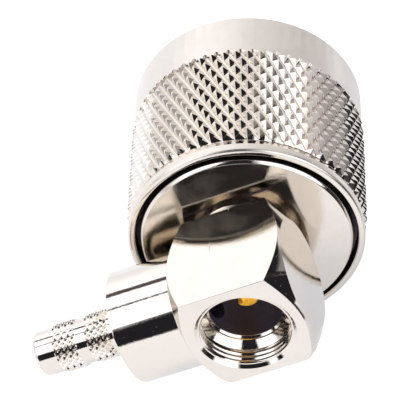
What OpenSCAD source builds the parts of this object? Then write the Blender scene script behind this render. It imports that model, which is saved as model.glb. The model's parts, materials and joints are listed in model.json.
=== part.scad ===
// Right-angle coaxial plug with a screw coupling nut and a crimp post, lying on its side.
//
// Every piece is drawn in the plug's own frame: the nut's axis is Z with z = 0 at the mating
// plane, the front edge of the outer contact, and z grows towards the back. The square body
// stands across that axis as a bar along X, with its barrel and crimp post towards -X.
// lay_down() then turns the whole plug so that it mates along +Y and rests on the nut's knurl
// and the rim of the crimp post.

/* [Coupling nut] */
// Outside diameter over the crests of the knurl
nut_knurl_d = 20.8; // [20:0.1:26]
// Outside diameter of the smooth front band
nut_band_d = 20.4; // [18.5:0.1:20.8]
// Outside diameter of the thin collar at the back
nut_collar_d = 20.4; // [20:0.1:20.8]
// Whole length of the nut
nut_length = 17.8; // [17:0.1:24]
// How far the nut's front rim stands ahead of the mating plane
nut_lead = 1.6; // [0.5:0.1:3]
// Length of the smooth front band
nut_band_length = 4.8; // [2:0.1:7]
// Length of the collar behind the knurl
nut_collar_length = 1.35; // [0.8:0.05:2]
// Width of the groove between the knurl and the collar
nut_groove_w = 0.4; // [0.2:0.05:0.8]
// Root diameter of that groove
nut_groove_d = 20.0; // [19.6:0.1:20.2]
// Edge break on the nut's outside corners
nut_edge = 0.2; // [0.05:0.05:0.4]

/* [Coupling thread] */
// Major diameter of the coupling thread
thread_major_d = 15.9; // [14:0.1:17]
// Minor diameter, the bore that is left inside the thread
thread_minor_d = 14.9; // [13:0.1:15.5]
// Length of the threaded bore
thread_length = 7.6; // [5:0.1:8]
// Clear bore between the mouth and the first thread
mouth_length = 2.0; // [1:0.1:2.5]
// Chamfer at the nut's mouth
mouth_chamfer = 0.6; // [0.2:0.1:1]

/* [Front shell] */
// Diameter of the flat disc that closes the back of the nut
disc_d = 18.3; // [17:0.1:18.7]
// Thickness of that disc
disc_thickness = 1.3; // [0.8:0.1:1.8]
// How far the disc stands behind the nut's back face
disc_proud = 0.25; // [0:0.05:0.6]
// Edge chamfer of the disc
disc_chamfer = 0.25; // [0.1:0.05:0.4]
// Diameter of the shell inside the nut
shell_d = 15.6; // [14.5:0.1:15.7]
// Distance from the mating plane to the gasket's seat
seat_depth = 10.4; // [10:0.1:11]
// Diameter of the boss inside the gasket
boss_d = 11.8; // [10.5:0.1:12.5]
// Height of that boss
boss_height = 1.25; // [0.8:0.05:1.4]
// Diameter of the neck between the disc and the square body
neck_d = 8.8; // [8:0.1:9.4]
// Length of neck left showing
neck_length = 1.0; // [0.5:0.1:3]
// Diameter of the spigot pressed into the square body
spigot_d = 8.0; // [7.6:0.1:8.4]
// Length of that spigot
spigot_length = 1.6; // [1:0.1:1.8]

/* [Retaining ring and gasket] */
// Thickness of the split ring
ring_thickness = 1.0; // [0.6:0.1:1.2]
// Radial width of the split ring
ring_width = 1.25; // [1:0.05:1.4]
// Opening of the split, in degrees
ring_split = 24; // [10:1:40]
// Distance from the gasket's seat to the ring
ring_setback = 1.5; // [1.2:0.1:2.2]
// Outside diameter of the gasket
gasket_d = 15.2; // [14.4:0.1:15.6]
// Thickness of the gasket
gasket_thickness = 1.6; // [1.4:0.1:2]

/* [Contacts and insulator] */
// Outside diameter of the outer contact sleeve
sleeve_d = 8.2; // [8.1:0.05:8.4]
// Inside diameter of the sleeve, and of the shell behind it
line_d = 7.0; // [6.4:0.1:7.2]
// Diameter of the sleeve's foot, pressed into the shell
foot_d = 9.6; // [9:0.1:10]
// Length of that foot
foot_length = 2.4; // [1.5:0.1:3]
// Number of slots in the sleeve
slot_count = 4; // [2:1:8]
// Width of each slot
slot_w = 0.45; // [0.3:0.05:0.8]
// Length of each slot
slot_length = 7.2; // [4:0.1:8]
// Diameter of the centre pin
pin_d = 1.65; // [1.6:0.01:1.7]
// Distance of the pin's tip behind the mating plane
pin_setback = 0.35; // [0.1:0.05:0.6]
// Diameter of the shoulder behind the pin
shoulder_d = 3.04; // [2.8:0.02:3.2]
// Distance from the mating plane to the shoulder
shoulder_depth = 5.3; // [5:0.05:5.6]
// Length of the shoulder
shoulder_length = 2.1; // [1:0.1:3]
// Diameter of the contact's stem behind the shoulder
stem_d = 2.1; // [1.9:0.05:2.4]
// Distance from the mating plane to the insulator's front face
insulator_depth = 5.85; // [5.5:0.05:6.5]
// Width of the solder slot in the contact's back end
fork_w = 0.9; // [0.6:0.05:1.1]
// Depth of that slot
fork_depth = 1.5; // [1:0.1:2]
// How far the fork reaches past the cable's axis
fork_past_axis = 0.8; // [0.4:0.1:1.2]

/* [Square body] */
// Width across the flats of the square bar
bar_w = 10; // [9.6:0.1:12]
// Half length of the bar, from the nut's axis to either turned end
bar_half = 5.2; // [5:0.05:6]
// Diameter at which the end chamfers start on the faces
end_face_d = 9.5; // [9:0.1:9.8]
// Angle of the end chamfers from the end faces
end_angle = 30.5; // [20:0.5:40]
// Diameter of the barrel
barrel_d = 9.85; // [9.5:0.05:10]
// Distance from the nut's axis to the barrel's end
barrel_reach = 10.8; // [9:0.1:16]
// Edge break at the barrel's end
barrel_edge = 0.12; // [0.05:0.01:0.3]

/* [Crimp post] */
// Diameter over the crests of the two knurled bands
post_knurl_d = 4.3; // [4:0.05:5]
// Diameter of the smooth lands between them
post_land_d = 3.95; // [3.6:0.05:4.2]
// Distance from the nut's axis to the post's tip
post_reach = 19.3; // [18:0.1:26]
// Length of the smooth tip
post_tip_length = 1.9; // [1:0.1:3]
// Length of each knurled band
post_knurl_length = 2.1; // [1:0.1:3]
// Length of the land between the bands
post_gap_length = 1.0; // [0.6:0.1:2]
// Rounding of the tip's rim
post_rim = 0.35; // [0.1:0.05:0.4]
// Diameter of the cable bore through the post
cable_bore_d = 3.1; // [2.6:0.1:3.2]

/* [Access hole] */
// Bore that is left inside the cap's thread
access_minor_d = 7.2; // [6.8:0.1:7.6]
// Diameter of the entry chamfer at the surface
access_mouth_d = 8.5; // [8:0.1:9]
// Depth from the surface to the cap's seat
access_depth = 2.6; // [2:0.1:3]
// Diameter of the solder chamber below the seat
chamber_d = 6.2; // [5.6:0.1:6.6]

/* [Fits] */
// Radial clearance where the nut turns on the shell
nut_clearance = 0.08; // [0.05:0.01:0.1]
// Radial clearance of the pressed and seated pieces
seat_clearance = 0.02; // [0.01:0.01:0.03]
// Radial gap seen round the disc, inside the nut's back opening
disc_gap = 0.42; // [0.3:0.02:0.8]
// Clearance on each side of the retaining ring
ring_clearance = 0.05; // [0.03:0.01:0.1]

/* [Hidden] */
$fn = 96;
eps = 0.01;

nickel = [0.80, 0.79, 0.78];
gold = [0.86, 0.66, 0.28];
white_plastic = [0.95, 0.95, 0.93];
silicone_red = [0.72, 0.24, 0.14];

// stations along the nut's axis
nut_front = -nut_lead;
nut_back = nut_front + nut_length;
knurl_front = nut_front + nut_band_length;
collar_front = nut_back - nut_collar_length;
knurl_back = collar_front - nut_groove_w;
disc_back = nut_back + disc_proud;
disc_front = disc_back - disc_thickness;
neck_back = disc_back + neck_length;
bar_axis = neck_back + bar_w / 2;
bar_back = bar_axis + bar_w / 2;
spigot_back = neck_back + spigot_length;
boss_front = seat_depth - boss_height;
foot_back = boss_front + foot_length;
ring_front = seat_depth + ring_setback;
ring_back = ring_front + ring_thickness;
thread_front = nut_front + mouth_length;
thread_back = thread_front + thread_length;
relief_back = ring_front - ring_setback / 2;
pocket_floor = disc_front - disc_proud - 2 * ring_clearance;
access_seat = bar_back - access_depth;

// radii that follow from the fits
bearing_r = shell_d / 2 + nut_clearance;
opening_r = disc_d / 2 + disc_gap;
relief_r = thread_major_d / 2 + 0.15;
ring_outer_r = bearing_r + ring_width / 2;
ring_inner_r = ring_outer_r - ring_width;

// The plug lies on the crests of the knurl and on the rounded rim of the post: the tilt at which
// both touch one plane solves  reach * sin(t) + radius * cos(t) = height.
rim_reach = post_reach - post_rim;
rim_radius = post_land_d / 2 - post_rim;
rim_height = nut_knurl_d / 2 - post_rim;
lie_angle = asin(rim_height / norm([rim_reach, rim_radius])) - atan2(rim_radius, rim_reach);

// Turns the plug from its own frame to the way it lies on a table, mating along +Y.
module lay_down() {
    rotate([0, -lie_angle, 0])
        rotate([90, 0, 0])
            children();
}

// A turned piece about the nut's axis, from [radius, station] points.
module turned(profile) {
    rotate_extrude()
        polygon(profile);
}

// A turned piece about the square bar's axis: its profile's second number runs along +X.
module turned_across(profile) {
    translate([0, 0, bar_axis])
        rotate([0, 90, 0])
            turned(profile);
}

// Knurled nut that turns on the shell and screws onto the mating jack.
module coupling_nut() {
    knurl_r = nut_knurl_d / 2;
    band_r = nut_band_d / 2;
    collar_r = nut_collar_d / 2;
    color(nickel)
        lay_down()
            difference() {
                turned([
                    [0, nut_front],
                    [band_r - nut_edge, nut_front],
                    [band_r, nut_front + nut_edge],
                    [band_r, knurl_front],
                    [knurl_r, knurl_front + (knurl_r - band_r)],
                    [knurl_r, knurl_back - nut_edge],
                    [knurl_r - nut_edge, knurl_back],
                    [nut_groove_d / 2, knurl_back],
                    [nut_groove_d / 2, collar_front],
                    [collar_r, collar_front],
                    [collar_r, nut_back - nut_edge / 2],
                    [collar_r - nut_edge / 2, nut_back],
                    [0, nut_back]
                ]);
                nut_bore();
            }
}

// Everything that is cut out of the nut, from the back pocket to the front mouth.
module nut_bore() {
    minor_r = thread_minor_d / 2;
    mouth_r = relief_r + mouth_chamfer;
    turned([
        [0, nut_front - eps],
        [mouth_r + eps, nut_front - eps],
        [relief_r, nut_front + mouth_chamfer],
        [relief_r, thread_front - (relief_r - minor_r)],
        [minor_r, thread_front],
        [minor_r, thread_back],
        [relief_r, thread_back + (relief_r - minor_r)],
        [relief_r, relief_back],
        [bearing_r, relief_back],
        [bearing_r, ring_front - ring_clearance],
        [ring_outer_r + seat_clearance, ring_front - ring_clearance],
        [ring_outer_r + seat_clearance, ring_back + ring_clearance],
        [bearing_r, ring_back + ring_clearance],
        [bearing_r, pocket_floor],
        [opening_r, pocket_floor],
        [opening_r, nut_back - nut_edge / 2],
        [opening_r + nut_edge / 2 + eps, nut_back + eps],
        [0, nut_back + eps]
    ]);
}

// Split spring ring, half in the nut's groove and half in the shell's.
module retaining_ring() {
    color(nickel)
        lay_down()
            difference() {
                turned([
                    [ring_inner_r, ring_front],
                    [ring_outer_r, ring_front],
                    [ring_outer_r, ring_back],
                    [ring_inner_r, ring_back]
                ]);
                ring_gap();
            }
}

// Wedge that opens the split ring on its upper side.
module ring_gap() {
    reach = 2 * ring_outer_r;
    half = reach * tan(ring_split / 2);
    translate([0, 0, ring_front - 1])
        linear_extrude(ring_thickness + 2)
            polygon([[0, 0], [half, reach], [-half, reach]]);
}

// Soft washer on the shell's seat, which the jack's rim presses on.
module gasket() {
    inner_r = boss_d / 2 + 0.1;
    color(silicone_red)
        lay_down()
            turned([
                [inner_r, seat_depth - gasket_thickness],
                [gasket_d / 2, seat_depth - gasket_thickness],
                [gasket_d / 2, seat_depth],
                [inner_r, seat_depth]
            ]);
}

// Turned shell: gasket seat, bearing for the nut, back disc, neck and press-in spigot.
module front_shell() {
    shell_r = shell_d / 2;
    disc_r = disc_d / 2;
    groove_r = ring_inner_r - 0.25;
    line_r = line_d / 2;
    foot_r = foot_d / 2 + seat_clearance;
    spigot_r = spigot_d / 2;
    color(nickel)
        lay_down()
            turned([
                [foot_r, boss_front],
                [boss_d / 2, boss_front],
                [boss_d / 2, seat_depth],
                [shell_r - 0.2, seat_depth],
                [shell_r, seat_depth + 0.2],
                [shell_r, ring_front - ring_clearance],
                [groove_r, ring_front - ring_clearance],
                [groove_r, ring_back + ring_clearance],
                [shell_r, ring_back + ring_clearance],
                [shell_r, disc_front],
                [disc_r, disc_front],
                [disc_r, disc_back - disc_chamfer],
                [disc_r - disc_chamfer, disc_back],
                [neck_d / 2, disc_back],
                [neck_d / 2, neck_back],
                [spigot_r, neck_back],
                [spigot_r, spigot_back - 0.2],
                [spigot_r - 0.2, spigot_back],
                [line_r, spigot_back],
                [line_r, foot_back],
                [foot_r, foot_back]
            ]);
}

// Slotted spring sleeve, the outer contact, with its foot pressed into the shell.
module outer_contact() {
    sleeve_r = sleeve_d / 2;
    line_r = line_d / 2;
    lead = 0.2;
    color(gold)
        lay_down()
            difference() {
                turned([
                    [line_r + lead / 2, 0],
                    [sleeve_r - lead, 0],
                    [sleeve_r, lead],
                    [sleeve_r, boss_front],
                    [foot_d / 2, boss_front],
                    [foot_d / 2, foot_back],
                    [line_r, foot_back],
                    [line_r, lead]
                ]);
                sleeve_slots();
            }
}

// The sleeve's slots, cut from the mating end.
module sleeve_slots() {
    for (i = [0 : slot_count - 1])
        rotate([0, 0, i * 360 / slot_count + 180 / slot_count])
            translate([line_d / 4, -slot_w / 2, -1])
                cube([sleeve_d / 2, slot_w, slot_length + 1]);
}

// Long plastic bead that carries the centre contact through the shell.
module insulator() {
    outer_r = line_d / 2 - seat_clearance;
    stem_hole_r = stem_d / 2 + seat_clearance;
    shoulder_hole_r = shoulder_d / 2 + seat_clearance;
    shoulder_back = shoulder_depth + shoulder_length;
    color(white_plastic)
        lay_down()
            turned([
                [shoulder_hole_r, insulator_depth],
                [outer_r - 0.1, insulator_depth],
                [outer_r, insulator_depth + 0.1],
                [outer_r, spigot_back],
                [stem_hole_r, spigot_back],
                [stem_hole_r, shoulder_back],
                [shoulder_hole_r, shoulder_back]
            ]);
}

// Centre contact: pin, shoulder, stem and the forked end that the cable's wire is soldered in.
module centre_contact() {
    pin_r = pin_d / 2;
    stem_r = stem_d / 2;
    shoulder_r = shoulder_d / 2;
    shoulder_back = shoulder_depth + shoulder_length;
    fork_back = bar_axis + fork_past_axis;
    tip_length = 1.2;
    color(gold)
        lay_down()
            difference() {
                turned([
                    [0, pin_setback],
                    [pin_r * 0.35, pin_setback],
                    [pin_r * 0.75, pin_setback + tip_length * 0.4],
                    [pin_r, pin_setback + tip_length],
                    [pin_r, shoulder_depth],
                    [shoulder_r, shoulder_depth],
                    [shoulder_r, shoulder_back],
                    [stem_r, shoulder_back],
                    [stem_r, fork_back - 0.1],
                    [stem_r - 0.1, fork_back],
                    [0, fork_back]
                ]);
                translate([-stem_d, -fork_w / 2, fork_back - fork_depth])
                    cube([2 * stem_d, fork_w, fork_depth + 1]);
            }
}

// Square bar turned at both ends, with its barrel, crimp post and bores.
module right_angle_body() {
    color(nickel)
        lay_down()
            difference() {
                union() {
                    square_bar();
                    barrel_and_post();
                }
                turned([
                    [0, neck_back - eps],
                    [spigot_d / 2 + seat_clearance, neck_back - eps],
                    [spigot_d / 2 + seat_clearance, spigot_back],
                    [0, spigot_back]
                ]);
                access_hole();
                cable_bore();
            }
}

// The bar between its two turned ends: the chamfers cut curved edges into the flat faces.
module square_bar() {
    face_r = end_face_d / 2;
    corner_r = bar_w;
    slope = (corner_r - face_r) * tan(end_angle);
    intersection() {
        translate([0, 0, bar_axis])
            cube([2 * bar_half, bar_w, bar_w], center = true);
        turned_across([
            [0, -bar_half],
            [face_r, -bar_half],
            [corner_r, -bar_half + slope],
            [corner_r, bar_half - slope],
            [face_r, bar_half],
            [0, bar_half]
        ]);
    }
}

// Plain barrel with the crimp post standing out of its end.
module barrel_and_post() {
    barrel_r = barrel_d / 2;
    land_r = post_land_d / 2;
    crest_r = post_knurl_d / 2;
    step = crest_r - land_r;
    tip = -post_reach + post_rim;
    band_1 = -post_reach + post_tip_length;
    band_2 = band_1 + post_knurl_length + post_gap_length;
    translate([0, 0, bar_axis])
        rotate([0, 90, 0])
            rotate_extrude()
                union() {
                    polygon([
                        [0, tip],
                        [land_r, tip],
                        [land_r, band_1],
                        [crest_r, band_1 + step],
                        [crest_r, band_1 + post_knurl_length - step],
                        [land_r, band_1 + post_knurl_length],
                        [land_r, band_2],
                        [crest_r, band_2 + step],
                        [crest_r, band_2 + post_knurl_length - step],
                        [land_r, band_2 + post_knurl_length],
                        [land_r, -barrel_reach],
                        [barrel_r - barrel_edge, -barrel_reach],
                        [barrel_r, -barrel_reach + barrel_edge],
                        [barrel_r, -bar_w / 4],
                        [0, -bar_w / 4]
                    ]);
                    translate([0, -post_reach])
                        square([rim_radius, 2 * post_rim]);
                    translate([rim_radius, tip])
                        circle(post_rim);
                }
}

// Threaded access hole on the nut's axis, its cap seat and the solder chamber below.
module access_hole() {
    mouth_r = access_mouth_d / 2;
    bore_r = access_minor_d / 2;
    chamfer = mouth_r - bore_r;
    turned([
        [0, spigot_back - eps],
        [chamber_d / 2, spigot_back - eps],
        [chamber_d / 2, access_seat],
        [bore_r, access_seat],
        [bore_r, bar_back - chamfer],
        [mouth_r + eps, bar_back + eps],
        [0, bar_back + eps]
    ]);
}

// Bore for the cable's insulation, from the post's tip into the solder chamber.
module cable_bore() {
    bore_r = cable_bore_d / 2;
    turned_across([
        [0, -post_reach - eps],
        [bore_r + 0.15, -post_reach - eps],
        [bore_r, -post_reach + 0.15],
        [bore_r, -chamber_d / 4],
        [0, -chamber_d / 4]
    ]);
}

coupling_nut();
retaining_ring();
gasket();
front_shell();
outer_contact();
insulator();
centre_contact();
right_angle_body();
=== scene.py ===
# %% [markdown]
# # A right-angle coaxial plug
# The plug is a small turned and milled metal part, 39 mm at its longest: a knurled nut that
# screws onto a jack, a square block that turns the line through a right angle, and a slim
# hollow post that a cable's braid is crimped onto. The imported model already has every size
# and joint right, so it is loaded first and kept as the frame. The finer meshes below are
# built on the same stations in millimetres, then laid down the way the model lies.

import json
from math import atan2, ceil, cos, degrees, hypot, pi, radians, sin, tan

import bmesh
import bpy
from mathutils import Matrix, Vector


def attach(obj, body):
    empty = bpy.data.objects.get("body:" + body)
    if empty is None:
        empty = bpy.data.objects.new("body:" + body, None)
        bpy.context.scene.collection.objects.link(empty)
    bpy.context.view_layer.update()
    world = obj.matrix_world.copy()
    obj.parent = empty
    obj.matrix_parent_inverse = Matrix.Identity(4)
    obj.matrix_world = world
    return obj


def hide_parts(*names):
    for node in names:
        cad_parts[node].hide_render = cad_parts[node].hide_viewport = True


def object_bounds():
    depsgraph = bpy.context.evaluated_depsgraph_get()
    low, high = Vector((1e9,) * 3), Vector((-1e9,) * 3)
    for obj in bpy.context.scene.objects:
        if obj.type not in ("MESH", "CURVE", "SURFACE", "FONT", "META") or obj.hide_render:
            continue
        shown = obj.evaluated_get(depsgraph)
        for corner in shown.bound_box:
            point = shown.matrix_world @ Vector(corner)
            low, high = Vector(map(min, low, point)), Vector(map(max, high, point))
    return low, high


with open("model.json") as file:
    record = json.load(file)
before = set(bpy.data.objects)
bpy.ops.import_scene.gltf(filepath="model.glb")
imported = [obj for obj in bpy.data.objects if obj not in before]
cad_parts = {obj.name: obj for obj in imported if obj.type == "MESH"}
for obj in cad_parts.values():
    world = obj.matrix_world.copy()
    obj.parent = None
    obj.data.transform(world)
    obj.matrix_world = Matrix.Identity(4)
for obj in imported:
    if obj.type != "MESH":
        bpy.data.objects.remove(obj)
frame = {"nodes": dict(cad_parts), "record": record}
cad_low, cad_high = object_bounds()
print("nodes", sorted(frame["nodes"]))
print("size in mm", [round(1000 * v, 2) for v in cad_high - cad_low])

# %% [markdown]
# ## From the workbench to the table
# Each piece is drawn upright in the plug's own frame: the nut's axis is Z, z = 0 is the
# mating plane and z grows towards the back, while the block's bar lies along X. The record
# says which way the crimp post points, and from that one direction follows the tilt at which
# the plug rests on the table. `LAY_DOWN` makes that move, and `ACROSS` first turns a piece
# that was made about its own axis so that it points along the bar.

# %% The plug's own frame
mounts = {mount["name"]: mount for mount in frame["record"]["mounts"]}
post_axis = Vector(mounts["crimp_post"]["axis"])
lie_angle = atan2(-post_axis.z, -post_axis.x)
MILLIMETRE = 0.001
LAY_DOWN = (
    Matrix.Rotation(-lie_angle, 4, "Y")
    @ Matrix.Rotation(radians(90), 4, "X")
    @ Matrix.Scale(MILLIMETRE, 4)
)
BAR_STATION = 22.45
ACROSS = Matrix.Translation((0, 0, BAR_STATION)) @ Matrix.Rotation(radians(90), 4, "Y")
print("the plug lies at", round(degrees(lie_angle), 2), "degrees")


# %% A new object in the scene
def placed(name, data):
    thing = bpy.data.objects.new(name, data)
    bpy.context.scene.collection.objects.link(thing)
    return thing


# %% [markdown]
# ## Camera
# A long lens looks down at the back of the plug from about 43 degrees above the table. The
# place and the turn are written as numbers, because one clear camera is all the scene needs.

# %% Camera
lens = bpy.data.cameras.new("studio_camera")
lens.sensor_width = 36
lens.lens = 226.83
lens.clip_start = 0.01
lens.clip_end = 20
camera = placed("studio_camera", lens)
camera.location = (-0.0059463, -0.1731413, 0.1489849)
camera.rotation_euler = (radians(47.308), radians(-2.0873), radians(1.276))
bpy.context.scene.camera = camera
bpy.context.scene.view_settings.view_transform = "Standard"
print("camera at", [round(v, 3) for v in camera.location])

# %% [markdown]
# ## Node helpers
# Shader trees and Geometry Nodes trees are both long chains of small sums. A few helpers keep
# them readable: `preset` sets inputs by name, `sums` makes one Math node and links or sets its
# inputs, `blend_between` turns a value into a soft 0 to 1 step, `window` is 1 between two soft
# steps, and `mixed_colour` blends or multiplies two colours.

# %% Node helpers
def feed(tree, socket, value):
    if isinstance(value, bpy.types.NodeSocket):
        tree.links.new(value, socket)
    else:
        socket.default_value = value


def preset(node, **values):
    for label, value in values.items():
        node.inputs[label.replace("_", " ")].default_value = value
    return node


def sums(tree, kind, a, b=0.0, c=0.0):
    node = tree.nodes.new("ShaderNodeMath")
    node.operation = kind
    for socket, value in zip(node.inputs, (a, b, c)):
        feed(tree, socket, value)
    return node.outputs[0]


def blend_between(tree, value, low, high):
    node = tree.nodes.new("ShaderNodeMapRange")
    node.interpolation_type = "SMOOTHSTEP"
    for name, v in (("Value", value), ("From Min", low), ("From Max", high)):
        feed(tree, node.inputs[name], v)
    return node.outputs["Result"]


def window(tree, value, low, high, soft):
    rise = blend_between(tree, value, low - soft, low + soft)
    fall = blend_between(tree, value, high - soft, high + soft)
    return sums(tree, "SUBTRACT", rise, fall)


def mixed_colour(tree, factor, a, b, kind="MIX"):
    node = tree.nodes.new("ShaderNodeMix")
    node.data_type = "RGBA"
    node.blend_type = kind
    feed(tree, node.inputs[0], factor)
    feed(tree, node.inputs[6], a)
    feed(tree, node.inputs[7], b)
    return node.outputs[2]


# %% [markdown]
# ## Studio
# Bare metal has no colour of its own to speak of: it shows the room. A small-parts studio has
# a pale table, a white backdrop, a softbox on either side and an unlit room behind the
# camera, and the plating needs all of them to look like metal. So the world is plain white
# for the camera and for matt surfaces, and only a mirror-like ray sees the softboxes and the
# dark room drawn by direction: azimuth 0 is away from the camera and -90 is to its left.

# %% Directions in the world
world = bpy.data.worlds.new("studio")
bpy.context.scene.world = world
world.use_nodes = True
sky = world.node_tree
sky.nodes.clear()
direction = sky.nodes.new("ShaderNodeTexCoord").outputs["Generated"]
split = sky.nodes.new("ShaderNodeSeparateXYZ")
sky.links.new(direction, split.inputs[0])
east, north, height = split.outputs
TURN_TO_DEGREES = 180 / pi
azimuth = sums(sky, "MULTIPLY", sums(sky, "ARCTAN2", east, north), TURN_TO_DEGREES)
elevation = sums(sky, "MULTIPLY", sums(sky, "ARCSINE", height), TURN_TO_DEGREES)


def patch(az_low, az_high, el_low, el_high, soft):
    across = window(sky, azimuth, az_low, az_high, soft)
    up = window(sky, elevation, el_low, el_high, soft)
    return sums(sky, "MULTIPLY", across, up)


# %% [markdown]
# The backdrop is bright on the left and falls off to the right and towards the table, and a
# greyer ceiling and right wall close the room. Everything else is laid over them as soft-edged
# patches, from the large unlit areas to the softboxes and the two dark gaps that draw thin
# lines along the barrel. Later patches cover earlier ones.

# %% The room that a mirror sees
UNLIT, WHITE = (0.017, 0.016, 0.018, 1), (1.45, 1.43, 1.40, 1)
BACKDROP_LEFT, BACKDROP_RIGHT = (1.25, 1.22, 1.19, 1), (0.78, 0.74, 0.71, 1)
CEILING, RIGHT_WALL = (0.40, 0.375, 0.365, 1), (0.28, 0.26, 0.25, 1)
NEAR_TABLE, FULL = (0.86, 0.86, 0.86, 1), (1, 1, 1, 1)
PATCHES = [  # azimuth from and to, elevation from and to, softness, colour
    (38, 90, 24, 73, 2.0, UNLIT),
    (74, 200, -5, 95, 2.0, UNLIT),
    (-200, -60, -5, 60, 2.0, UNLIT),
    (-200, -120, -5, 95, 2.0, UNLIT),
    (-112, -56, -8, 20, 2.0, (0.70, 0.66, 0.62, 1)),  # low left wall
    (-137, -40, 28, 56, 2.0, WHITE),  # left softbox
    (-137, -108, 9, 30, 2.0, WHITE),
    (-118, -56, 50, 71, 7.0, (0.66, 0.62, 0.61, 1)),  # its glow on the ceiling
    (-112, -62, 19, 57, 4.0, WHITE),
    (106, 169, 15, 72, 2.0, WHITE),  # right softbox
    (84, 110, 31, 72, 2.0, (0.62, 0.60, 0.58, 1)),  # its pale edge
    (-61.5, -52, 31, 60, 1.2, (0.10, 0.08, 0.08, 1)),  # gap beside the left softbox
    (-95.9, -91.4, 30, 60, 0.6, (0.06, 0.05, 0.05, 1)),  # bar of the left softbox
]
low_part = mixed_colour(sky, blend_between(sky, elevation, 6, 22), NEAR_TABLE, FULL)
backdrop = mixed_colour(
    sky, blend_between(sky, azimuth, -45, 25), BACKDROP_LEFT, BACKDROP_RIGHT
)
backdrop = mixed_colour(sky, 1.0, backdrop, low_part, "MULTIPLY")
room = mixed_colour(sky, blend_between(sky, elevation, 48, 60), backdrop, CEILING)
room = mixed_colour(sky, blend_between(sky, azimuth, 48, 58), room, RIGHT_WALL)
for *edges, soft, colour in PATCHES:
    room = mixed_colour(sky, patch(*edges, soft), room, colour)
print(len(PATCHES), "patches drawn by direction")

# %% World output
path = sky.nodes.new("ShaderNodeLightPath")
mirror_room = sky.nodes.new("ShaderNodeBackground")
ROOM_GAIN = (1.21, 1.29, 1.46, 1)
lit = mixed_colour(sky, 1.0, room, ROOM_GAIN, "MULTIPLY")
sky.links.new(lit, mirror_room.inputs["Color"])
soft_fill = sky.nodes.new("ShaderNodeBackground")
preset(soft_fill, Color=(1, 0.99, 0.98, 1), Strength=0.62)
white_card = preset(sky.nodes.new("ShaderNodeBackground"), Color=FULL)
by_ray = sky.nodes.new("ShaderNodeMixShader")
sky.links.new(path.outputs["Is Glossy Ray"], by_ray.inputs[0])
sky.links.new(soft_fill.outputs[0], by_ray.inputs[1])
sky.links.new(mirror_room.outputs[0], by_ray.inputs[2])
by_camera = sky.nodes.new("ShaderNodeMixShader")
sky.links.new(path.outputs["Is Camera Ray"], by_camera.inputs[0])
sky.links.new(by_ray.outputs[0], by_camera.inputs[1])
sky.links.new(white_card.outputs[0], by_camera.inputs[2])
world_out = sky.nodes.new("ShaderNodeOutputWorld")
sky.links.new(by_camera.outputs[0], world_out.inputs["Surface"])
print("world nodes", len(sky.nodes))

# %% [markdown]
# ## Table and lamps
# The table is one pale sheet at the lowest point of the model. Seen by the camera or by the
# metal it is close to white, and part of it still comes from the lamps, so the plug keeps a
# soft shadow. For mirror rays a painted shadow darkens the strip of table beside the plug,
# and towards the front right the sheet is painted near-black, a painted dark reflection that
# stands for an unlit room. Two large square lamps stand in for the softboxes and a small one
# in front lights the inside of the access hole; mirror-like rays skip all three, because the
# world already shows their shape.

# %% Table sheet
TABLE_RADIUS = 1.6
sheet = bmesh.new()
bmesh.ops.create_circle(sheet, cap_ends=True, segments=96, radius=TABLE_RADIUS)
bmesh.ops.translate(sheet, verts=sheet.verts, vec=(0, 0, cad_low.z))
table_mesh = bpy.data.meshes.new("table")
sheet.to_mesh(table_mesh)
sheet.free()
table = placed("table", table_mesh)
print("table at z =", round(1000 * cad_low.z, 2), "mm")

# %% Table paper
PAPER, SEEN_BY_CAMERA = (0.88, 0.865, 0.85, 1), (1.14, 1.14, 1.13, 1)
# Mirror rays see the paper in the first colour on the next line, and a painted shadow of the plug
# in the second.
IN_A_MIRROR, PAINTED_PLUG_SHADOW = (1.14, 1.21, 1.40, 1), (0.74, 0.80, 0.96, 1)
# A near-black painted dark reflection, standing for an unlit room, laid on the sheet for mirror
# rays.
PAINTED_DARK_REFLECTION = (0.08, 0.07, 0.08, 1)
GLOW_SHARE = 0.72
paper = bpy.data.materials.new("table_paper")
paper.use_nodes = True
tree = paper.node_tree
tree.nodes.clear()
matt = preset(tree.nodes.new("ShaderNodeBsdfDiffuse"), Color=PAPER)
glow = tree.nodes.new("ShaderNodeEmission")
path = tree.nodes.new("ShaderNodeLightPath")
seen = sums(tree, "MAXIMUM", path.outputs["Is Camera Ray"], path.outputs["Is Glossy Ray"])
seen = sums(tree, "MAXIMUM", seen, path.outputs["Is Transmission Ray"])
share = sums(tree, "MULTIPLY", seen, GLOW_SHARE)
spot = tree.nodes.new("ShaderNodeSeparateXYZ")
tree.links.new(tree.nodes.new("ShaderNodeTexCoord").outputs["Object"], spot.inputs[0])
to_right, to_back = spot.outputs[0], spot.outputs[1]
# Painted shadow: a strip of table beside the plug turns darker for mirror rays only.
beside = window(tree, to_right, -0.010, 0.060, 0.006)
shadow = sums(tree, "MULTIPLY", beside, blend_between(tree, to_back, -0.034, -0.018))
mirrored = mixed_colour(tree, shadow, IN_A_MIRROR, PAINTED_PLUG_SHADOW)
# Painted dark reflection: towards the front right the sheet turns near-black for mirror rays, with
# no lamp light mixed in.
in_front = blend_between(tree, to_back, -0.014, -0.024)
painted_dark_patch = sums(tree, "MULTIPLY", blend_between(tree, to_right, 0.036, 0.044), in_front)
mirrored = mixed_colour(tree, painted_dark_patch, mirrored, PAINTED_DARK_REFLECTION)
hidden = sums(tree, "MULTIPLY", painted_dark_patch, path.outputs["Is Glossy Ray"])
share = sums(tree, "MAXIMUM", share, hidden)
shade = mixed_colour(tree, path.outputs["Is Camera Ray"], mirrored, SEEN_BY_CAMERA)
tree.links.new(shade, glow.inputs["Color"])
mix = tree.nodes.new("ShaderNodeMixShader")
tree.links.new(share, mix.inputs[0])
tree.links.new(matt.outputs[0], mix.inputs[1])
tree.links.new(glow.outputs[0], mix.inputs[2])
out = tree.nodes.new("ShaderNodeOutputMaterial")
tree.links.new(mix.outputs[0], out.inputs["Surface"])
table_mesh.materials.append(paper)
print("paper nodes", len(tree.nodes))

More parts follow.
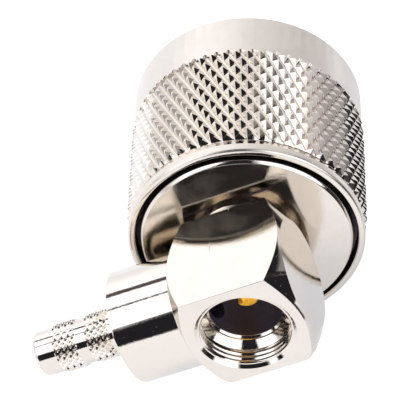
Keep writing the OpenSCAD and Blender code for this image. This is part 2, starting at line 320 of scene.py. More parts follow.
# %% Lamps
def softbox(name, place, size, power):
    lamp = bpy.data.lights.new(name, "AREA")
    lamp.shape = "SQUARE"
    lamp.size = size
    lamp.energy = power
    lamp.color = (1, 0.985, 0.965)
    holder = placed(name, lamp)
    holder.location = place
    holder.rotation_mode = "QUATERNION"
    holder.rotation_quaternion = Vector(place).to_track_quat("Z", "Y")
    holder.visible_glossy = False
    print(name, "at", place, "with", power, "W")


softbox("softbox_left", (-0.45, 0.05, 0.42), 0.40, 3.2)
softbox("softbox_right", (0.45, -0.25, 0.38), 0.30, 1.3)
softbox("front_fill", (0.06, -0.5, 0.33), 0.12, 2.4)

# %% [markdown]
# ## Turned pieces
# Nearly everything on a plug like this comes off a lathe, so one helper turns an outline of
# radius and station about an axis. A real tool never leaves a perfectly sharp corner, and it
# is the tiny rounding that catches a line of light along each edge. `soften` puts that
# rounding into the outline before it is turned, which gives cleaner edge loops than a bevel
# afterwards. A point of an outline is radius and station, and a third number is its own
# rounding. `weld` joins points that lie within a hair of each other, and the three distances
# say how fine that hair is.

# %% Outlines and the lathe
TIGHT, CLOSE, LOOSE = 1e-5, 1e-4, 2e-4
ON_AXIS = 1e-6


def weld(shape, reach, sliver=0):
    bmesh.ops.remove_doubles(shape, verts=shape.verts, dist=reach)
    if sliver:
        bmesh.ops.dissolve_degenerate(shape, edges=shape.edges, dist=sliver)


def face_outwards(shape):
    bmesh.ops.recalc_face_normals(shape, faces=shape.faces)


def soften(outline, radius, steps=3):
    count = len(outline)
    soft = []
    for i, point in enumerate(outline):
        here = Vector(point[:2])
        back = Vector(outline[i - 1][:2]) - here
        ahead = Vector(outline[(i + 1) % count][:2]) - here
        size = point[2] if len(point) > 2 else radius
        if size == 0 or here.x < ON_AXIS:
            soft.append(here)
            continue
        room_left = 0.45 * min(back.length, ahead.length)
        cut = min(size / tan(back.angle(ahead) / 2), room_left)
        start, end = here + back.normalized() * cut, here + ahead.normalized() * cut
        for k in range(steps + 1):
            t = k / steps
            soft.append(start * (1 - t) ** 2 + here * 2 * t * (1 - t) + end * t * t)
    return soft


def lathe(outline, segments=192, closed=True):
    shape = bmesh.new()
    turns = [2 * pi * k / segments for k in range(segments)]
    rings = [[shape.verts.new((r * sin(a), r * cos(a), z)) for a in turns] for r, z in outline]
    following = rings[1:] + rings[:1] if closed else rings[1:]
    for ring, after in zip(rings, following):
        for k in range(segments):
            m = (k + 1) % segments
            shape.faces.new((ring[k], ring[m], after[m], after[k]))
    weld(shape, TIGHT)
    face_outwards(shape)
    return shape


# %% Stitching and joining
def stitch(shape, first, second):
    loops = [sorted(loop, key=lambda v: atan2(v.co.x, v.co.y)) for loop in (first, second)]
    angles = [[atan2(v.co.x, v.co.y) for v in loop] for loop in loops]
    counts = [len(loop) for loop in loops]
    steps = [0, 0]
    while steps[0] < counts[0] or steps[1] < counts[1]:
        ahead = []
        for k in (0, 1):
            lap, spot = divmod(steps[k] + 1, counts[k])
            ahead.append(angles[k][spot] + 2 * pi * lap if steps[k] < counts[k] else 1e9)
        k = 0 if ahead[0] <= ahead[1] else 1
        here = [loops[j][steps[j] % counts[j]] for j in (0, 1)]
        shape.faces.new((here[0], here[1], loops[k][(steps[k] + 1) % counts[k]]))
        steps[k] += 1


def rim_verts(shape, station):
    rims = {v for e in shape.edges if e.is_boundary for v in e.verts}
    return [v for v in rims if abs(v.co.z - station) < 0.01]


def add_shape(whole, extra):
    carrier = bpy.data.meshes.new("carrier")
    extra.to_mesh(carrier)
    whole.from_mesh(carrier)
    bpy.data.meshes.remove(carrier)
    extra.free()


# %% [markdown]
# ## Finishing a piece
# Every mesh is finished the same way: it is laid down into the model's frame, shaded smooth
# with its real corners kept sharp, and given normals weighted by face area so that big flat
# faces stay flat next to their small roundings. Then it rides on its body and takes the
# place of the plain node.

# %% Finish a mesh
def plain_mesh(holder):
    found = bpy.context.evaluated_depsgraph_get()
    return bpy.data.meshes.new_from_object(holder.evaluated_get(found))


def finished(shape, name, finishes, body, stands_for, sharp=32):
    mesh = bpy.data.meshes.new(name)
    shape.to_mesh(mesh)
    shape.free()
    mesh.transform(LAY_DOWN)
    for finish in finishes:
        mesh.materials.append(finish)
    mesh.shade_smooth()
    mesh.set_sharp_from_angle(angle=radians(sharp))
    part = placed(name, mesh)
    weighting = part.modifiers.new("even_shading", "WEIGHTED_NORMAL")
    weighting.keep_sharp = True
    weighting.weight = 60
    part.data = plain_mesh(part)
    part.modifiers.clear()
    bpy.data.meshes.remove(mesh)
    part.data.name = name
    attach(part, body)
    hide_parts(stands_for)
    measured = bmesh.new()
    measured.from_mesh(part.data)
    loose = sum(1 for e in measured.edges if len(e.link_faces) != 2)
    volume = measured.calc_volume(signed=True) / MILLIMETRE**3
    triangles = sum(len(f.verts) - 2 for f in measured.faces)
    measured.free()
    print(f"{name}: {triangles} triangles, {loose} open edges, {volume:.1f} mm3")


# %% [markdown]
# ## Metal finishes
# Nickel plate over turned brass is a mirror that remembers the tool. Three things make it
# look real: faint rings left by the lathe, a few hair-thin scratches, and smudges that dull
# the mirror in soft clouds. Two small node groups work these masks out from the piece's own
# coordinates, so that every metal can use them at its own strength. A very fine grain in the
# bump makes the edges of the reflections slightly ragged, as plating does.

# %% Coordinates along a turning axis
def turning_frame(tree, across):
    where = tree.nodes.new("ShaderNodeTexCoord").outputs["Object"]
    upright = LAY_DOWN.inverted()
    if across:
        upright = ACROSS.inverted() @ upright
    place, turn, scale = upright.decompose()
    mapping = tree.nodes.new("ShaderNodeMapping")
    preset(mapping, Location=place, Rotation=turn.to_euler(), Scale=scale)
    tree.links.new(where, mapping.inputs["Vector"])
    return mapping.outputs[0]


# %% Effect groups
def effect_group(name, inputs, outputs):
    tree = bpy.data.node_groups.new(name, "ShaderNodeTree")
    for label, kind, value in inputs:
        socket = tree.interface.new_socket(label, in_out="INPUT", socket_type=kind)
        if value is not None:
            socket.default_value = value
    for label in outputs:
        tree.interface.new_socket(label, in_out="OUTPUT", socket_type="NodeSocketFloat")
    given = tree.nodes.new("NodeGroupInput").outputs
    return tree, given, tree.nodes.new("NodeGroupOutput").inputs


def cloud(tree, where, scale, detail=2.0, roughness=0.5, stretch=None):
    if stretch:
        mapping = preset(tree.nodes.new("ShaderNodeMapping"), Scale=stretch)
        tree.links.new(where, mapping.inputs["Vector"])
        where = mapping.outputs[0]
    noise = tree.nodes.new("ShaderNodeTexNoise")
    preset(noise, Detail=detail, Roughness=roughness)
    feed(tree, noise.inputs["Scale"], scale)
    tree.links.new(where, noise.inputs["Vector"])
    return noise.outputs[0]


# %% Turning marks
marks, given, result = effect_group(
    "turning_marks",
    [("Vector", "NodeSocketVector", None), ("Marks per mm", "NodeSocketFloat", 8.0)],
    ["Height"],
)
parts = marks.nodes.new("ShaderNodeSeparateXYZ")
marks.links.new(given["Vector"], parts.inputs[0])
squares = [sums(marks, "POWER", output, 2) for output in parts.outputs[:2]]
from_axis = sums(marks, "SQRT", sums(marks, "ADD", *squares))
along = sums(marks, "ADD", from_axis, parts.outputs[2])
ring = marks.nodes.new("ShaderNodeTexNoise")
ring.noise_dimensions = "1D"
preset(ring, Scale=1, Detail=3)
marks.links.new(sums(marks, "MULTIPLY", along, given["Marks per mm"]), ring.inputs["W"])
marks.links.new(ring.outputs[0], result["Height"])

# %% Smudges and scratches
wear, given, result = effect_group(
    "handling",
    [("Vector", "NodeSocketVector", None), ("Smudge size", "NodeSocketFloat", 0.5)],
    ["Smudge", "Scratch"],
)
smudge = cloud(wear, given["Vector"], given["Smudge size"], 4, 0.6)
wear.links.new(blend_between(wear, smudge, 0.42, 0.68), result["Smudge"])
first = cloud(wear, given["Vector"], 1.0, 2, 0.5, (0.5, 14, 3))
second = cloud(wear, given["Vector"], 1.0, 2, 0.5, (11, 0.6, 4))
finest = sums(wear, "MAXIMUM", first, second)
wear.links.new(blend_between(wear, finest, 0.70, 0.78), result["Scratch"])
print("effect groups", [g.name for g in bpy.data.node_groups])


# %% Plated metal
MICROMETRE = 1e-6


def use_group(tree, group, where, **values):
    node = tree.nodes.new("ShaderNodeGroup")
    node.node_tree = group
    tree.links.new(where, node.inputs["Vector"])
    return preset(node, **values).outputs


def bumped(tree, height, strength, distance, shader):
    bump = preset(tree.nodes.new("ShaderNodeBump"), Strength=strength, Distance=distance)
    tree.links.new(height, bump.inputs["Height"])
    tree.links.new(bump.outputs[0], shader.inputs["Normal"])


def plated(
    name, colour, low, high, ring_depth, across=False, rings=8.0, dull=None, scratches=0.08,
    grain=0.0, metallic=1,
):
    metal = bpy.data.materials.new(name)
    metal.use_nodes = True
    tree = metal.node_tree
    shader = preset(tree.nodes["Principled BSDF"], Metallic=metallic)
    where = turning_frame(tree, across)
    turned = use_group(tree, marks, where, Marks_per_mm=rings)["Height"]
    worn = use_group(tree, wear, where, Smudge_size=0.5)
    dull = dull or tuple(0.97 * c for c in colour[:3]) + (1,)
    tree.links.new(mixed_colour(tree, worn["Smudge"], colour, dull), shader.inputs["Base Color"])
    rough = sums(tree, "MULTIPLY_ADD", worn["Smudge"], high - low, low)
    rough = sums(tree, "MULTIPLY_ADD", worn["Scratch"], scratches, rough)
    tree.links.new(rough, shader.inputs["Roughness"])
    height = sums(tree, "MULTIPLY", turned, ring_depth)
    if grain:
        specks = cloud(tree, where, 5.0, 4, 0.7)
        height = sums(tree, "MULTIPLY_ADD", specks, grain, height)
    bumped(tree, height, 1, MICROMETRE, shader)
    return metal


# %% [markdown]
# The two numbers after each colour are the roughness of clean and of smudged plating, and the
# third is the depth of the tool's rings in micrometres. The mirror follows the bar's axis, the
# others the nut's. The gold is only part metal, because a thin worn plating in a dark chamber
# would otherwise show nothing but the dark.

# %% The plug's metals
NICKEL = (0.72, 0.65, 0.56, 1)
nickel_mirror = plated(
    "nickel_mirror", NICKEL, 0.03, 0.06, 0.4, across=True, rings=5, scratches=0.35, grain=3.0
)
nickel_knurl = plated("nickel_knurl", NICKEL, 0.04, 0.09, 0.2, grain=5.0)
nickel_satin = plated("nickel_satin", NICKEL, 0.28, 0.31, 0.6, rings=12)
nickel_disc = plated("nickel_disc", NICKEL, 0.10, 0.16, 0.6, rings=10, grain=4.0)
nickel_contact = plated("nickel_contact", NICKEL, 0.07, 0.16, 0.8)
# Painted shade: a near-black for the walls of the narrow gaps round the shell's disc, where little
# light gets in.
bore_dull = plated("bore_dull", (0.10, 0.086, 0.094, 1), 0.45, 0.6, 2.0)
# Painted shade: a dark colour for the access hole's chamber and the cable bore.
chamber_dull = plated("chamber_dull", (0.24, 0.21, 0.29, 1), 0.45, 0.6, 2.0)
gold_plate = plated(
    "gold_plate", (1.0, 0.53, 0.05, 1), 0.26, 0.4, 1.0, dull=(0.80, 0.36, 0.04, 1), metallic=0.4
)
spring_bronze = plated("spring_bronze", (0.72, 0.46, 0.27, 1), 0.2, 0.35, 1.0)
print("nine metals,", gold_plate.name, "is only part metal")

# %% [markdown]
# ## Plastic and rubber
# The insulator is a white fluoroplastic bead: waxy, with light that sinks in a little. The
# gasket is moulded silicone, brick red, with a faint bloom. Both get their tone from soft
# clouds, and their surface from very fine grain.

# %% Soft materials
def moulded(name, colour, deep, rough, subsurface, reach, grain):
    stuff = bpy.data.materials.new(name)
    stuff.use_nodes = True
    tree = stuff.node_tree
    shader = preset(
        tree.nodes["Principled BSDF"], Subsurface_Weight=subsurface,
        Subsurface_Radius=(1.0, 0.8, 0.7), Subsurface_Scale=reach,
    )
    where = turning_frame(tree, False)
    worn = use_group(tree, wear, where, Smudge_size=0.9)
    tree.links.new(mixed_colour(tree, worn["Smudge"], colour, deep), shader.inputs["Base Color"])
    bloom = sums(tree, "MULTIPLY_ADD", worn["Smudge"], 0.12, rough)
    tree.links.new(bloom, shader.inputs["Roughness"])
    bumped(tree, cloud(tree, where, 14.0, 3), 0.5, grain * MICROMETRE, shader)
    return stuff


white_plastic = moulded(
    "white_plastic", (0.88, 0.88, 0.85, 1), (0.82, 0.82, 0.78, 1), 0.38, 0.3, 0.0006, 4
)
red_silicone = moulded(
    "red_silicone", (0.52, 0.085, 0.04, 1), (0.44, 0.06, 0.03, 1), 0.45, 0.15, 0.0004, 8
)
print("soft materials", white_plastic.name, red_silicone.name)

# %% [markdown]
# ## Growing repeated shapes
# A knurl and a screw thread both follow a rule, so each is a Geometry Nodes tree with its
# sizes as named inputs. `grown` sets those inputs by the socket's identifier, lets the tree
# run once and keeps the result as a plain mesh.

# %% Run a tree
def geometry_tree(name, inputs):
    tree = bpy.data.node_groups.new(name, "GeometryNodeTree")
    tree.interface.new_socket("Geometry", in_out="OUTPUT", socket_type="NodeSocketGeometry")
    for label, kind in inputs:
        tree.interface.new_socket(label, in_out="INPUT", socket_type="NodeSocket" + kind)
    return tree, tree.nodes.new("NodeGroupInput").outputs


def close_tree(tree, shape, finish):
    realize = tree.nodes.new("GeometryNodeRealizeInstances")
    tree.links.new(shape, realize.inputs[0])
    paint = tree.nodes.new("GeometryNodeSetMaterial")
    tree.links.new(realize.outputs[0], paint.inputs["Geometry"])
    tree.links.new(finish, paint.inputs["Material"])
    tree.links.new(paint.outputs[0], tree.nodes.new("NodeGroupOutput").inputs[0])


def grown(tree, **values):
    holder = placed(tree.name, bpy.data.meshes.new(tree.name))
    modifier = holder.modifiers.new(tree.name, "NODES")
    modifier.node_group = tree
    for item in tree.interface.items_tree:
        label = item.name.replace(" ", "_")
        if item.in_out == "INPUT" and label in values:
            modifier[item.identifier] = values[label]
    shape = bmesh.new()
    mesh = plain_mesh(holder)
    shape.from_mesh(mesh)
    seed = holder.data
    bpy.data.objects.remove(holder)
    bpy.data.meshes.remove(seed)
    bpy.data.meshes.remove(mesh)
    print(tree.name, "grew", len(shape.faces), "faces")
    return shape


# %% [markdown]
# ## Knurl
# A diamond knurl is pressed by two slanted wheels whose grooves cross. One wheel bites deeper
# here, so its grooves run unbroken and the other's only notch the ridges between them. One
# tooth holds the whole rule: a narrow crest, two walls that go down to the flat floors of the
# deep grooves, and two that meet in the shallow ones. It is drawn in the lattice's own square
# coordinates, where its edges can be rounded evenly, and only then skewed into a diamond. The
# tree sets teeth out in staggered rows on a flat strip, and the strip is then cut to length
# and rolled round the nut.

# %% One tooth
def tooth(name, around, along, deep, shallow, crests, floor, edge=0.0):
    side = crests[0] + shallow * (1 - floor - crests[0]) / deep
    corners = {
        "T": (*crests, 0),
        "C": (side, 1, -shallow),
        "K": (1 - floor, 1, -deep),
        "F": (1, 1, -deep),
    }
    shape = bmesh.new()
    made = {}
    for key, (a, b, h) in corners.items():
        for sa in (-1, 1):
            for sb in (-1, 1):
                made[key, sa, sb] = shape.verts.new((sa * a, sb * b, 2 * h))
    shape.faces.new([made["T", sa, sb] for sa, sb in ((-1, -1), (1, -1), (1, 1), (-1, 1))])
    wall = (("T", -1), ("C", -1), ("K", -1), ("K", 1), ("C", 1), ("T", 1))
    deep_floor = (("K", -1), ("F", -1), ("F", 1), ("K", 1))
    notch = (("T", -1), ("T", 1), ("C", 1), ("C", -1))
    for s in (-1, 1):
        for around_it in (wall, deep_floor):
            shape.faces.new([made[key, s, t] for key, t in around_it])
        shape.faces.new([made[key, t, s] for key, t in notch])
    face_outwards(shape)
    if edge:
        inner = [e for e in shape.edges if not e.is_boundary]
        bmesh.ops.bevel(shape, geom=inner, offset=2 * edge, segments=1, affect="EDGES")
    for v in shape.verts:
        a, b, h = v.co
        v.co = ((a + b) / 4 * around, (b - a) / 4 * along, h / 2)
    mesh = bpy.data.meshes.new(name)
    shape.to_mesh(mesh)
    shape.free()
    return placed(name, mesh)


# %% Staggered rows of teeth
knurl_rows, given = geometry_tree(
    "knurl_rows",
    [("Tooth", "Object"), ("Starts", "Int"), ("Half rows", "Int"), ("Pitch around", "Float"),
     ("Pitch along", "Float"), ("First row", "Float"), ("Finish", "Material")],
)
tree = knurl_rows
number = tree.nodes.new("GeometryNodeInputIndex").outputs[0]
row = sums(tree, "FLOOR", sums(tree, "DIVIDE", number, given["Starts"]))
column = sums(tree, "MODULO", number, given["Starts"])
stagger = sums(tree, "MULTIPLY", sums(tree, "MODULO", row, 2), 0.5)
steps = sums(tree, "ADD", column, stagger)
half_row = sums(tree, "MULTIPLY", given["Pitch along"], 0.5)
place = tree.nodes.new("ShaderNodeCombineXYZ")
feed(tree, place.inputs[0], sums(tree, "MULTIPLY", steps, given["Pitch around"]))
feed(tree, place.inputs[1], sums(tree, "MULTIPLY_ADD", row, half_row, given["First row"]))
spots = tree.nodes.new("GeometryNodePoints")
count = sums(tree, "MULTIPLY", given["Starts"], given["Half rows"])
feed(tree, spots.inputs["Count"], count)
feed(tree, spots.inputs["Position"], place.outputs[0])
fetch = tree.nodes.new("GeometryNodeObjectInfo")
feed(tree, fetch.inputs["Object"], given["Tooth"])
plant = tree.nodes.new("GeometryNodeInstanceOnPoints")
feed(tree, plant.inputs["Points"], spots.outputs[0])
feed(tree, plant.inputs["Instance"], fetch.outputs["Geometry"])
close_tree(tree, plant.outputs[0], given["Finish"])


# %% Cut the strip to length and roll it up
def cut_strip(shape, station, level, lean, outward):
    everything = shape.verts[:] + shape.edges[:] + shape.faces[:]
    cut = bmesh.ops.bisect_plane(
        shape, geom=everything, dist=1e-6, plane_co=(0, station, level),
        plane_no=Vector((0, outward, lean)).normalized(), clear_outer=True,
    )
    return [g for g in cut["geom_cut"] if isinstance(g, bmesh.types.BMEdge)]


def run_on(shape, edges, stations):
    for station in stations:
        fresh = bmesh.ops.extrude_edge_only(shape, edges=edges)["geom"]
        verts = {g for g in fresh if isinstance(g, bmesh.types.BMVert)}
        edges = [g for g in fresh if isinstance(g, bmesh.types.BMEdge)]
        edges = [e for e in edges if verts.issuperset(e.verts)]
        for v in verts:
            v.co.y, v.co.z = station(v.co.y, v.co.z) if callable(station) else station


def rolled(shape, crest):
    for v in shape.verts:
        turn, radius = v.co.x / crest, crest + v.co.z
        v.co = (radius * sin(turn), radius * cos(turn), v.co.y)
    weld(shape, LOOSE)


def knurl_strip(name, crest, starts, along, front, back, finish, **form):
    around = 2 * pi * crest / starts
    model = tooth(name, around, along, **form)
    half_rows = 2 * ceil((back - front) / along) + 4
    strip = grown(
        knurl_rows, Tooth=model, Starts=starts, Half_rows=half_rows, Pitch_around=around,
        Pitch_along=along, First_row=front - along, Finish=finish,
    )
    weld(strip, CLOSE)
    bpy.data.objects.remove(model)
    return strip


# %% [markdown]
# ## Screw thread
# A thread is a grid rolled into a tube whose rows climb by one pitch in each turn. Because
# the rows follow the helix, every crest and root is one clean line of edges. At both ends the
# rows run out against a flat ring, where the ridge fades into the root. The two shares say
# how much of each pitch is flat root and flat crest, so one tree makes both of the threads.

# %% Thread tree
screw_thread, given = geometry_tree(
    "screw_thread",
    [("Root radius", "Float"), ("Crest radius", "Float"), ("Pitch", "Float"), ("Front", "Float"),
     ("Back", "Float"), ("Fade", "Float"), ("Root share", "Float"), ("Full share", "Float"),
     ("Segments", "Int"), ("Rows per pitch", "Int"), ("Finish", "Material")],
)
tree = screw_thread
length = sums(tree, "SUBTRACT", given["Back"], given["Front"])
pitches = sums(tree, "ADD", sums(tree, "DIVIDE", length, given["Pitch"]), 1)
rows = sums(tree, "MULTIPLY", sums(tree, "CEIL", pitches), given["Rows per pitch"])
grid = tree.nodes.new("GeometryNodeMeshGrid")
feed(tree, grid.inputs["Vertices X"], sums(tree, "ADD", given["Segments"], 1))
feed(tree, grid.inputs["Vertices Y"], sums(tree, "ADD", rows, 1))
spot = tree.nodes.new("ShaderNodeSeparateXYZ")
feed(tree, spot.inputs[0], tree.nodes.new("GeometryNodeInputPosition").outputs[0])
turn = sums(tree, "ADD", spot.outputs[0], 0.5)
along = sums(tree, "ADD", spot.outputs[1], 0.5)
row = sums(tree, "ROUND", sums(tree, "MULTIPLY", along, rows))
risen = sums(tree, "DIVIDE", row, given["Rows per pitch"])
climb = sums(tree, "SUBTRACT", risen, turn)
free = sums(tree, "MULTIPLY_ADD", climb, given["Pitch"], given["Front"])
station = sums(tree, "MINIMUM", sums(tree, "MAXIMUM", free, given["Front"]), given["Back"])
phase = sums(tree, "MULTIPLY_ADD", sums(tree, "FRACT", risen), 2, -1)
ridge = sums(tree, "SUBTRACT", 1, sums(tree, "ABSOLUTE", phase))
ridge = blend_between(tree, ridge, given["Root share"], given["Full share"])
for a, b in ((station, given["Front"]), (given["Back"], station)):
    fade = sums(tree, "DIVIDE", sums(tree, "SUBTRACT", a, b), given["Fade"])
    fade = sums(tree, "MAXIMUM", sums(tree, "MINIMUM", fade, 1), 0)
    ridge = sums(tree, "MULTIPLY", ridge, fade)
depth = sums(tree, "SUBTRACT", given["Crest radius"], given["Root radius"])
radius = sums(tree, "MULTIPLY_ADD", ridge, depth, given["Root radius"])
angle = sums(tree, "MULTIPLY", turn, 2 * pi)
wrapped = tree.nodes.new("ShaderNodeCombineXYZ")
feed(tree, wrapped.inputs[0], sums(tree, "MULTIPLY", radius, sums(tree, "SINE", angle)))
feed(tree, wrapped.inputs[1], sums(tree, "MULTIPLY", radius, sums(tree, "COSINE", angle)))
feed(tree, wrapped.inputs[2], station)
shift = tree.nodes.new("GeometryNodeSetPosition")
feed(tree, shift.inputs["Geometry"], grid.outputs["Mesh"])
feed(tree, shift.inputs["Position"], wrapped.outputs[0])
close_tree(tree, shift.outputs[0], given["Finish"])

# %% [markdown]
# ## Coupling nut
# The nut is the piece that the fingers turn. Behind a satin front band comes the knurl, then
# a shallow cone and a thin collar. The knurled strip is run on from both of its cut ends, so
# that the band, the cone and the collar grow out of the same open edges. The bore with its
# thread is turned separately. The two skins have a different number of points round, so they
# are stitched together with triangles on the narrow front and back faces. The space behind
# the shell's disc is shut in, and its walls get a near-black colour: painted shade.

# %% Knurled outside
CREST, BAND, GROOVE, COLLAR = 10.395, 10.2, 9.92, 10.2
NUT_FRONT, KNURL_FRONT, KNURL_BACK, COLLAR_FRONT, NUT_BACK = -1.6, 3.2, 14.45, 15.25, 16.2
SEAM_FRONT, SEAM_BACK, BETWEEN_RIMS = 9.8, 9.74, 9.77
RUNOUT_SLOPE = 1.6


def stations(points, radius=0.05):
    return [(z, r - CREST) for r, z in soften(points, radius)][:-1]


def runout(z, h):
    return KNURL_FRONT - RUNOUT_SLOPE * max(0.0, BAND - CREST - h), BAND - CREST


nut = knurl_strip(
    "nut_tooth", CREST, 60, 2.058, KNURL_FRONT, KNURL_BACK, nickel_knurl,
    deep=0.42, shallow=0.34, crests=(0.1, 0.2), floor=0.17, edge=0.015,
)
front_edges = cut_strip(nut, KNURL_FRONT, BAND - CREST, 0.8, -1)
back_edges = cut_strip(nut, KNURL_BACK, GROOVE - CREST, 0.55, 1)
front_path = stations([
    (BAND, 2.6, 0), (BAND, -1.42), (BAND - 0.18, NUT_FRONT), (9.0, NUT_FRONT, 0),
])
run_on(nut, front_edges, [runout, *front_path, (NUT_FRONT, SEAM_FRONT - CREST)])
run_on(nut, back_edges, stations([
    (GROOVE, 14.5, 0), (GROOVE, 14.6), (COLLAR - 0.09, COLLAR_FRONT),
    (COLLAR, COLLAR_FRONT + 0.03), (COLLAR, 16.0, 0.1),
    (COLLAR - 0.13, NUT_BACK - 0.05, 0.08), (9.81, NUT_BACK, 0), (9.0, NUT_BACK, 0),
]))
rolled(nut, CREST)
print("knurled skin", len(nut.faces), "faces")

# %% Bore and thread of the nut
THREAD_ROOT, THREAD_CREST, THREAD_FRONT, THREAD_BACK = 7.95, 7.45, 0.4, 8.0
GUIDE, GROOVE_FRONT, GROOVE_BACK, GROOVE_DEPTH = 7.88, 11.85, 12.95, 8.525
mouth = [
    (8.85, NUT_FRONT, 0), (8.7, NUT_FRONT), (8.1, -1.0), (8.1, 0.25),
    (THREAD_ROOT, THREAD_FRONT, 0),
]
rear = [
    (THREAD_ROOT, THREAD_BACK, 0), (8.1, 8.15), (8.1, 11.15), (GUIDE, 11.15),
    (GUIDE, GROOVE_FRONT), (GROOVE_DEPTH, GROOVE_FRONT), (GROOVE_DEPTH, GROOVE_BACK),
    (GUIDE, GROOVE_BACK), (GUIDE, 14.8), (9.57, 14.8), (9.57, 16.08), (9.69, NUT_BACK),
    (SEAM_BACK, NUT_BACK, 0),
]
for outline in (mouth, rear):
    add_shape(nut, lathe(soften(outline, 0.04), closed=False))
add_shape(nut, grown(
    screw_thread, Root_radius=THREAD_ROOT, Crest_radius=THREAD_CREST, Pitch=1.058,
    Front=THREAD_FRONT, Back=THREAD_BACK, Fade=0.5, Root_share=0.2, Full_share=0.85,
    Segments=192, Rows_per_pitch=8, Finish=nickel_knurl,
))
weld(nut, LOOSE, TIGHT)
for side in (NUT_FRONT, NUT_BACK):
    rims = rim_verts(nut, side)
    outer = [v for v in rims if hypot(*v.co.xy) > BETWEEN_RIMS]
    stitch(nut, outer, [v for v in rims if v not in outer])
face_outwards(nut)
print("nut", len(nut.faces), "faces")

# %% Finishes of the nut
SATIN_OUTSIDE, SATIN_FRONT, SATIN_BACK = 10.05, 2.95, 15.2
SHUT_IN_WITHIN, SHUT_IN_FRONT, SHUT_IN_BACK = 9.62, 11.2, 16.06


def radius_and_station(face):
    middle = face.calc_center_median()
    return hypot(middle.x, middle.y), middle.z


for face in nut.faces:
    reach, z = radius_and_station(face)
    satin = reach > SATIN_OUTSIDE and not SATIN_FRONT <= z <= SATIN_BACK
    # Painted shade: faces inside the narrow space behind the shell's disc take the near-black
    # colour.
    in_painted_shade = reach < SHUT_IN_WITHIN and SHUT_IN_FRONT < z < SHUT_IN_BACK
    face.material_index = 2 if in_painted_shade else int(satin)
finished(
    nut, "knurled_nut", [nickel_knurl, nickel_satin, bore_dull], "nut",
    "coupling_nut", sharp=18,
)

# %% [markdown]
# ## Front shell
# The shell is the fixed core inside the nut. From behind only its flat disc and the short
# neck show; from the front, the seat that carries the gasket.

# %% Shell
SLEEVE_FRONT, SLEEVE_BACK, BEAD_BACK = 9.15, 11.55, 19.05
SHELL_CORE, BEHIND_DISC = 7.5, 16.15
shell = lathe(soften([
    (4.82, SLEEVE_FRONT), (5.9, SLEEVE_FRONT), (5.9, 10.4), (7.6, 10.4), (7.8, 10.6),
    (7.8, GROOVE_FRONT), (7.005, GROOVE_FRONT), (7.005, GROOVE_BACK), (7.8, GROOVE_BACK),
    (7.8, 15.15), (9.15, 15.15), (9.15, 16.2, 0.08), (8.95, 16.45, 0.1), (4.4, 16.45, 0.12),
    (4.4, 17.45), (4.0, 17.45), (4.0, 18.85), (3.8, BEAD_BACK), (3.5, BEAD_BACK),
    (3.5, SLEEVE_BACK), (4.82, SLEEVE_BACK),
], 0.04), 256)
# Painted shade: the disc's rim and the walls under the nut take the near-black colour.
for face in shell.faces:
    reach, z = radius_and_station(face)
    if reach > SHELL_CORE and SHUT_IN_FRONT < z < BEHIND_DISC:
        face.material_index = 1
finished(
    shell, "front_shell_turned", [nickel_disc, bore_dull], "plug_body",
    "front_shell",
)


# %% [markdown]
# ## Cutting holes
# Crossing bores are cut the way a mill cuts them: the blank and the cutter are both closed
# solids, and a Boolean takes one from the other.

# %% Boolean cut
def cut_away(shape, cutter):
    holders = []
    for label, source in (("blank", shape), ("cutter", cutter)):
        mesh = bpy.data.meshes.new(label)
        source.to_mesh(mesh)
        source.free()
        holders.append(placed(label, mesh))
    blank, tool = holders
    saw = blank.modifiers.new("saw", "BOOLEAN")
    saw.operation = "DIFFERENCE"
    saw.solver = "EXACT"
    saw.object = tool
    result = plain_mesh(blank)
    left = bmesh.new()
    left.from_mesh(result)
    for holder in holders:
        mesh = holder.data
        bpy.data.objects.remove(holder)
        bpy.data.meshes.remove(mesh)
    bpy.data.meshes.remove(result)
    weld(left, LOOSE, CLOSE)
    return left


# %% [markdown]
# ## Right-angle body
# The body starts as square bar, 10 mm across its flats. A lathe turns both ends: the back end
# gets a steep chamfer that cuts curved edges into the four flats, and the other end becomes
# the barrel and the thin post. So the mesh is turned too, but with the bar's own outline as
# the radius: for every direction round the bar, the profile runs out to the flat and back.
# The two corners at the bottom of the hole's face are blunted, as they are where it is held.
# The access hole has a plain mouth and a short fine thread for a cover, and it opens into the
# chamber where the cable's wire meets the centre contact.

# %% The bar's outline
BAR_HALF_WIDTH, BAR_HALF, END_RADIUS, END_SLOPE = 5.0, 5.2, 4.75, tan(radians(30.5))
CORNER, PER_SIDE = 0.07, 40


def bar_outline():
    outline = []
    flat = BAR_HALF_WIDTH - CORNER
    widest = atan2(flat, BAR_HALF_WIDTH)
    for quarter in [side * pi / 2 for side in range(4)]:
        for k in range(PER_SIDE):
            a = widest * (2 * k / (PER_SIDE - 1) - 1)
            outline.append((quarter + a, BAR_HALF_WIDTH / cos(a)))
        for a in (pi / 6, 2 * pi / 6):
            x, y = flat + CORNER * sin(a), flat + CORNER * cos(a)
            outline.append((quarter + atan2(x, y), hypot(x, y)))
    return outline


# %% Bar, barrel and post
BARREL, BARREL_END, POST_LAND, POST_TIP = 4.925, -10.8, 1.975, -19.3
CABLE_BORE, BORE_END, RIM, EDGE = 1.55, -1.5, 0.35, 0.035
BLUNT_CORNER, BLUNT_FROM, BLUNT_WITHIN, BLUNT_BY = 1.25 * pi, 6.4, 0.6, 1.15


